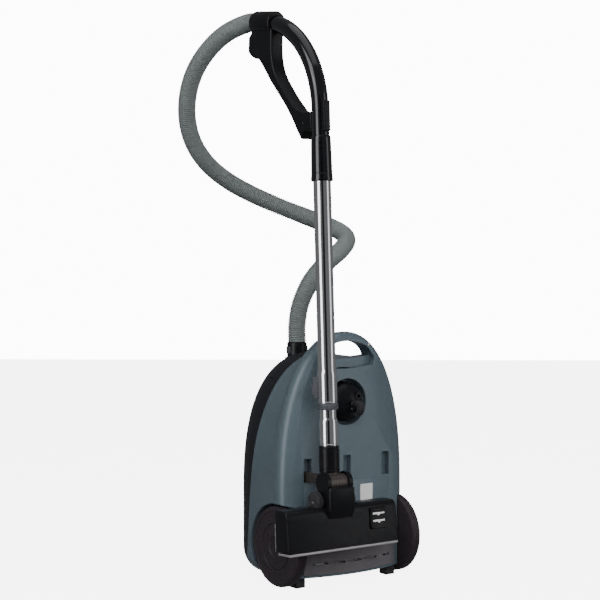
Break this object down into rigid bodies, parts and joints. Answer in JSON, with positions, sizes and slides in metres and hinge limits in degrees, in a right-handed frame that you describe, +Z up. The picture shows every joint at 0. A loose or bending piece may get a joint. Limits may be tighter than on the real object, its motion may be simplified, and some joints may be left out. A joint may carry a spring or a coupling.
{
  "type": "canister vacuum cleaner",
  "caption": "Canister vacuum cleaner parked on its rear end, with a telescopic wand, curved handle, free hose and tilting floor head; lid, wheels, caster, buttons and pedal move.",
  "frame": {"origin": "on the floor under the middle of the box of the rigid parts, the hose left out, with the cleaner standing on its rear end in its parking position", "axes": "+Z up along the standing body; +X to the right seen from the belly side, where the wand is parked on the left; -Y out of the belly towards the parked tool, +Y out of the dust lid"},
  "size_m": [0.4312, 0.5823, 1.1244],
  "materials": {
    "casing_slate": "satin metallic grey-blue moulding",
    "cover_dark": "dark grey moulding, fine grain",
    "trim_black": "black moulding, fine grain",
    "gloss_black": "gloss black moulding",
    "wheel_dark": "dark hard plastic",
    "panel_grey": "mid grey moulding",
    "tube_chrome": "polished chrome plate",
    "plain_steel": "plain machined steel",
    "strip_silver": "silver painted plastic",
    "fitting_grey": "grey moulding",
    "hose_grey": "ribbed flexible plastic",
    "soft_rubber": "matt rubber",
    "bag_fleece": "non-woven fleece",
    "filter_foam": "open filter foam",
    "label_white": "blank printed label",
    "board_green": "laminate circuit board",
    "bristle_dark": "nylon bristles"
  },
  "bodies": {
    "canister": {"lower_housing": "casing_slate", "tail_cover": "cover_dark", "nose_cover": "cover_dark", "lid_hinge_pin": "plain_steel", "cord_outlet": "soft_rubber", "dust_bag": "bag_fleece", "bag_holder": "panel_grey", "motor_filter": "filter_foam", "motor_housing": "panel_grey", "motor_seal": "soft_rubber", "reel_axle": "plain_steel", "exhaust_filter": "filter_foam", "control_board": "board_green", "exhaust_grille": "panel_grey", "wheel_axle_left": "plain_steel", "wheel_axle_right": "plain_steel", "foot_front_left": "soft_rubber", "foot_front_right": "soft_rubber", "foot_back_left": "soft_rubber", "foot_back_right": "soft_rubber", "handle_screw_left": "plain_steel", "handle_screw_right": "plain_steel", "rating_plate": "label_white", "hose": "hose_grey"},
    "left_wheel": {"wheel_left": "wheel_dark"},
    "right_wheel": {"wheel_right": "wheel_dark"},
    "caster": {"caster_dome": "trim_black", "caster_axle": "plain_steel"},
    "caster_wheel": {"caster_roller": "soft_rubber"},
    "lid": {"dust_lid": "cover_dark"},
    "latch": {"lid_latch": "trim_black"},
    "power_switch": {"power_button": "trim_black"},
    "rewind_switch": {"rewind_button": "trim_black"},
    "dial": {"suction_dial": "fitting_grey"},
    "reel": {"cord_reel": "panel_grey"},
    "rotor": {"motor_rotor": "plain_steel"},
    "inlet_cuff": {"hose_cuff": "trim_black"},
    "cuff_catch_left": {"cuff_button_left": "fitting_grey"},
    "cuff_catch_right": {"cuff_button_right": "fitting_grey"},
    "neck": {"neck_elbow": "fitting_grey"},
    "head": {"head_cover": "trim_black", "sole_plate": "plain_steel", "front_strip": "strip_silver", "pedal_pin": "plain_steel", "head_axle": "plain_steel"},
    "pedal": {"brush_pedal": "trim_black"},
    "brush": {"brush_strip": "bristle_dark"},
    "head_roller_left": {"head_wheel_left": "soft_rubber"},
    "head_roller_right": {"head_wheel_right": "soft_rubber"},
    "wand_lower": {"neck_cuff": "trim_black", "wand_lower_tube": "tube_chrome"},
    "wand_upper": {"wand_upper_tube": "tube_chrome", "wand_collar": "fitting_grey", "handle_cuff": "gloss_black", "handle_tube": "gloss_black", "hose_socket": "trim_black", "handle_grip": "trim_black", "grip_screw": "plain_steel"},
    "wand_lock": {"lock_slider": "fitting_grey"},
    "bleed_valve": {"bleed_slider": "trim_black"}
  },
  "joints": [
    {"name": "wheel_left_spin", "type": "hinge", "parent": "canister", "child": "left_wheel", "pos_m": [-0.1055, -0.017, 0.0806], "axis": [1, 0, 0], "continuous": true},
    {"name": "wheel_right_spin", "type": "hinge", "parent": "canister", "child": "right_wheel", "pos_m": [0.1725, -0.017, 0.0806], "axis": [1, 0, 0], "continuous": true},
    {"name": "caster_swivel", "type": "hinge", "parent": "canister", "child": "caster", "pos_m": [0.0335, -0.048, 0.355], "axis": [0, 1, 0], "continuous": true},
    {"name": "caster_roll", "type": "hinge", "parent": "caster", "child": "caster_wheel", "pos_m": [0.0335, -0.0806, 0.345], "axis": [1, 0, 0], "continuous": true},
    {"name": "lid_hinge", "type": "hinge", "parent": "canister", "child": "lid", "pos_m": [0.0335, 0.149, 0.168], "axis": [-1, 0, 0], "range_deg": [0, 80]},
    {"name": "latch_slide", "type": "slide", "parent": "lid", "child": "latch", "axis": [0, 0, -1], "range_m": [0, 0.004], "stiffness_N_per_m": 200, "springref_m": -0.003},
    {"name": "power_press", "type": "slide", "parent": "canister", "child": "power_switch", "axis": [0, -1, 0], "range_m": [0, 0.005], "stiffness_N_per_m": 250, "springref_m": -0.003},
    {"name": "rewind_press", "type": "slide", "parent": "canister", "child": "rewind_switch", "axis": [0, -1, 0], "range_m": [0, 0.005], "stiffness_N_per_m": 250, "springref_m": -0.003},
    {"name": "dial_turn", "type": "hinge", "parent": "canister", "child": "dial", "pos_m": [0.0335, 0.152, 0.116], "axis": [0, 1, 0], "range_deg": [-135, 135]},
    {"name": "reel_spin", "type": "hinge", "parent": "canister", "child": "reel", "pos_m": [-0.0225, 0.056, 0.098], "axis": [1, 0, 0], "continuous": true},
    {"name": "rotor_spin", "type": "hinge", "parent": "canister", "child": "rotor", "pos_m": [0.0835, 0.052, 0.1], "axis": [0, 0, 1], "continuous": true},
    {"name": "cuff_swivel", "type": "hinge", "parent": "canister", "child": "inlet_cuff", "pos_m": [0.0335, 0.122, 0.44], "axis": [0, 0, 1], "continuous": true},
    {"name": "cuff_press_left", "type": "slide", "parent": "inlet_cuff", "child": "cuff_catch_left", "axis": [1, 0, 0], "range_m": [0, 0.0025], "stiffness_N_per_m": 200, "springref_m": -0.003},
    {"name": "cuff_press_right", "type": "slide", "parent": "inlet_cuff", "child": "cuff_catch_right", "axis": [-1, 0, 0], "range_m": [0, 0.0025], "stiffness_N_per_m": 200, "springref_m": -0.003},
    {"name": "park_lift", "type": "slide", "parent": "canister", "child": "neck", "axis": [0, 0, 1], "range_m": [0, 0.02], "deforming": ["hose"]},
    {"name": "head_tilt", "type": "hinge", "parent": "neck", "child": "head", "pos_m": [-0.0615, -0.13498, 0.21568], "axis": [1, 0, 0], "range_deg": [-60, 0]},
    {"name": "pedal_rock", "type": "hinge", "parent": "head", "child": "pedal", "pos_m": [0.0265, -0.15333, 0.14244], "axis": [1, 0, 0], "range_deg": [0, 12]},
    {"name": "brush_slide", "type": "slide", "parent": "head", "child": "brush", "axis": [0, 0.999, -0.0454], "range_m": [0, 0.005]},
    {"name": "head_roller_left_spin", "type": "hinge", "parent": "head", "child": "head_roller_left", "pos_m": [-0.1005, -0.12554, 0.18122], "axis": [1, 0, 0], "continuous": true},
    {"name": "head_roller_right_spin", "type": "hinge", "parent": "head", "child": "head_roller_right", "pos_m": [-0.0225, -0.12554, 0.18122], "axis": [1, 0, 0], "continuous": true},
    {"name": "neck_swivel", "type": "hinge", "parent": "neck", "child": "wand_lower", "pos_m": [-0.0615, -0.12, 0.215], "axis": [0, 0.0454, 0.999], "range_deg": [-90, 90], "deforming": ["hose"]},
    {"name": "telescope", "type": "slide", "parent": "wand_lower", "child": "wand_upper", "axis": [0, 0.0454, 0.999], "range_m": [0, 0.36], "deforming": ["hose"]},
    {"name": "lock_slide", "type": "slide", "parent": "wand_upper", "child": "wand_lock", "axis": [0, 0.0454, 0.999], "range_m": [0, 0.006], "stiffness_N_per_m": 200, "springref_m": -0.003},
    {"name": "bleed_slide", "type": "slide", "parent": "wand_upper", "child": "bleed_valve", "axis": [0, 0.0454, 0.999], "range_m": [0, 0.01]}
  ],
  "couplings": [
    {"joint": "pedal_rock", "follows": "brush_slide", "rad_per_m": 41.88}
  ]
}
